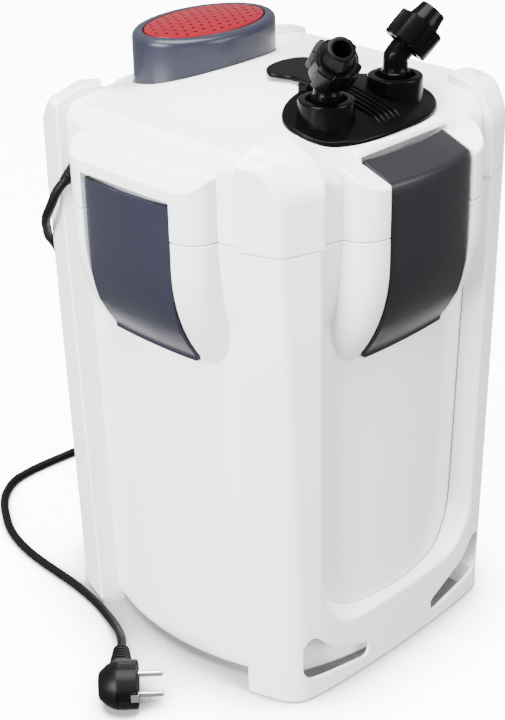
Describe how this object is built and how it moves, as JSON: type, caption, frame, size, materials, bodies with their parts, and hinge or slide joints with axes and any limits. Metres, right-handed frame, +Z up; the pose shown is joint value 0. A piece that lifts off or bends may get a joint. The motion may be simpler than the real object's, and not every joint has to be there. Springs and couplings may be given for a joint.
{
  "type": "canister filter",
  "caption": "Square-bodied aquarium canister filter with lift-off pump head, side latches, stacked media baskets, lift-out tap block with swivelling hose elbows, priming plunger and mains lead.",
  "frame": {"origin": "on the floor under the middle of the bucket", "axes": "+Z up, +X to the right seen from the latch side that holds the hose ports, -Y towards that side"},
  "size_m": [0.3698, 0.4405, 0.4922],
  "materials": {
    "white_plastic": "satin",
    "charcoal_plastic": "satin",
    "slate_plastic": "satin",
    "black_plastic": "satin",
    "basket_plastic": "matt",
    "red_plastic": "satin",
    "plug_plastic": "satin",
    "rubber": "matt",
    "steel": "satin",
    "stator": "laminated and wound",
    "pale_media": "granular",
    "blue_foam": "open foam",
    "dark_foam": "open foam"
  },
  "bodies": {
    "base": {"canister": "white_plastic", "seam_collar": "white_plastic", "latch_cheeks": "white_plastic", "front_frame": "white_plastic", "rear_frame": "white_plastic", "frame_screws": "steel", "intake_duct": "black_plastic", "mains_lead": "rubber", "plug_body": "plug_plastic", "plug_pins": "steel"},
    "head": {"head_cover": "white_plastic", "pump_base": "black_plastic", "motor_stator": "stator", "main_seal": "rubber", "impeller_cover": "black_plastic", "rotor_shaft": "steel", "shaft_bushes": "charcoal_plastic", "head_screws": "steel", "latch_pins": "steel", "cord_gland": "rubber", "prime_spring": "steel"},
    "front_latch": {"front_latch": "charcoal_plastic"},
    "rear_latch": {"rear_latch": "charcoal_plastic"},
    "left_latch": {"left_latch": "slate_plastic"},
    "right_latch": {"right_latch": "slate_plastic"},
    "rotor": {"impeller": "charcoal_plastic"},
    "plunger": {"prime_collar": "slate_plastic", "prime_button": "red_plastic", "prime_piston": "black_plastic"},
    "tap": {"tap_block": "black_plastic", "tap_o_rings": "rubber"},
    "lever": {"tap_lever": "black_plastic"},
    "inlet_valve": {"inlet_valve": "black_plastic"},
    "outlet_valve": {"outlet_valve": "black_plastic"},
    "inlet_elbow": {"inlet_elbow": "black_plastic"},
    "outlet_elbow": {"outlet_elbow": "black_plastic"},
    "inlet_nut": {"inlet_nut": "black_plastic"},
    "outlet_nut": {"outlet_nut": "black_plastic"},
    "lower_basket": {"lower_basket": "basket_plastic", "lower_grid": "basket_plastic", "lower_media": "pale_media"},
    "middle_basket": {"middle_basket": "basket_plastic", "middle_grid": "basket_plastic", "middle_media": "blue_foam"},
    "upper_basket": {"upper_basket": "basket_plastic", "upper_grid": "basket_plastic", "upper_media": "dark_foam"}
  },
  "joints": [
    {"name": "head_lift", "type": "slide", "parent": "base", "child": "head", "axis": [0, 0, 1], "range_m": [0, 0.36]},
    {"name": "front_latch_hinge", "type": "hinge", "parent": "head", "child": "front_latch", "pos_m": [0, -0.143, 0.38], "axis": [-1, 0, 0], "range_deg": [0, 45]},
    {"name": "rear_latch_hinge", "type": "hinge", "parent": "head", "child": "rear_latch", "pos_m": [0, 0.143, 0.38], "axis": [1, 0, 0], "range_deg": [0, 45]},
    {"name": "left_latch_hinge", "type": "hinge", "parent": "head", "child": "left_latch", "pos_m": [-0.143, 0, 0.38], "axis": [0, 1, 0], "range_deg": [0, 45]},
    {"name": "right_latch_hinge", "type": "hinge", "parent": "head", "child": "right_latch", "pos_m": [0.143, 0, 0.38], "axis": [0, -1, 0], "range_deg": [0, 45]},
    {"name": "rotor_spin", "type": "hinge", "parent": "head", "child": "rotor", "pos_m": [0, -0.01, 0.35], "axis": [0, 0, 1], "continuous": true},
    {"name": "plunger_press", "type": "slide", "parent": "head", "child": "plunger", "axis": [0, 0, 1], "range_m": [-0.018, 0], "stiffness_N_per_m": 400, "springref_m": 0.014, "deforming": ["prime_spring"]},
    {"name": "tap_lift", "type": "slide", "parent": "head", "child": "tap", "axis": [0, 0, 1], "range_m": [0, 0.06]},
    {"name": "lever_flip", "type": "hinge", "parent": "tap", "child": "lever", "pos_m": [0, -0.05, 0.4406], "axis": [1, 0, 0], "range_deg": [0, 90]},
    {"name": "inlet_valve_turn", "type": "hinge", "parent": "tap", "child": "inlet_valve", "pos_m": [-0.0356, -0.082, 0.4], "axis": [1, 0, 0], "range_deg": [0, 90]},
    {"name": "outlet_valve_turn", "type": "hinge", "parent": "tap", "child": "outlet_valve", "pos_m": [0.0356, -0.082, 0.4], "axis": [1, 0, 0], "range_deg": [0, 90]},
    {"name": "inlet_swivel", "type": "hinge", "parent": "tap", "child": "inlet_elbow", "pos_m": [-0.0356, -0.082, 0.4565], "axis": [0, 0, 1], "range_deg": [-80, 40]},
    {"name": "outlet_swivel", "type": "hinge", "parent": "tap", "child": "outlet_elbow", "pos_m": [0.0356, -0.082, 0.4565], "axis": [0, 0, 1], "range_deg": [-90, 90]},
    {"name": "inlet_nut_turn", "type": "hinge", "parent": "inlet_elbow", "child": "inlet_nut", "pos_m": [-0.0356, -0.082, 0.4565], "axis": [-0.332, -0.6243, 0.7071], "continuous": true},
    {"name": "outlet_nut_turn", "type": "hinge", "parent": "outlet_elbow", "child": "outlet_nut", "pos_m": [0.0356, -0.082, 0.4565], "axis": [0.6556, -0.2649, 0.7071], "continuous": true},
    {"name": "lower_basket_lift", "type": "slide", "parent": "base", "child": "lower_basket", "axis": [0, 0, 1], "range_m": [0, 0.09]},
    {"name": "middle_basket_lift", "type": "slide", "parent": "base", "child": "middle_basket", "axis": [0, 0, 1], "range_m": [0, 0.18]},
    {"name": "upper_basket_lift", "type": "slide", "parent": "base", "child": "upper_basket", "axis": [0, 0, 1], "range_m": [0, 0.27]}
  ],
  "couplings": [
    {"joint": "front_latch_hinge", "follows": "head_lift", "rad_per_m": 2.1816},
    {"joint": "rear_latch_hinge", "follows": "head_lift", "rad_per_m": 2.1816},
    {"joint": "left_latch_hinge", "follows": "head_lift", "rad_per_m": 2.1816},
    {"joint": "right_latch_hinge", "follows": "head_lift", "rad_per_m": 2.1816},
    {"joint": "lower_basket_lift", "follows": "head_lift", "ratio": 0.25},
    {"joint": "middle_basket_lift", "follows": "head_lift", "ratio": 0.5},
    {"joint": "upper_basket_lift", "follows": "head_lift", "ratio": 0.75},
    {"joint": "inlet_valve_turn", "follows": "lever_flip", "ratio": 1},
    {"joint": "outlet_valve_turn", "follows": "lever_flip", "ratio": 1}
  ]
}
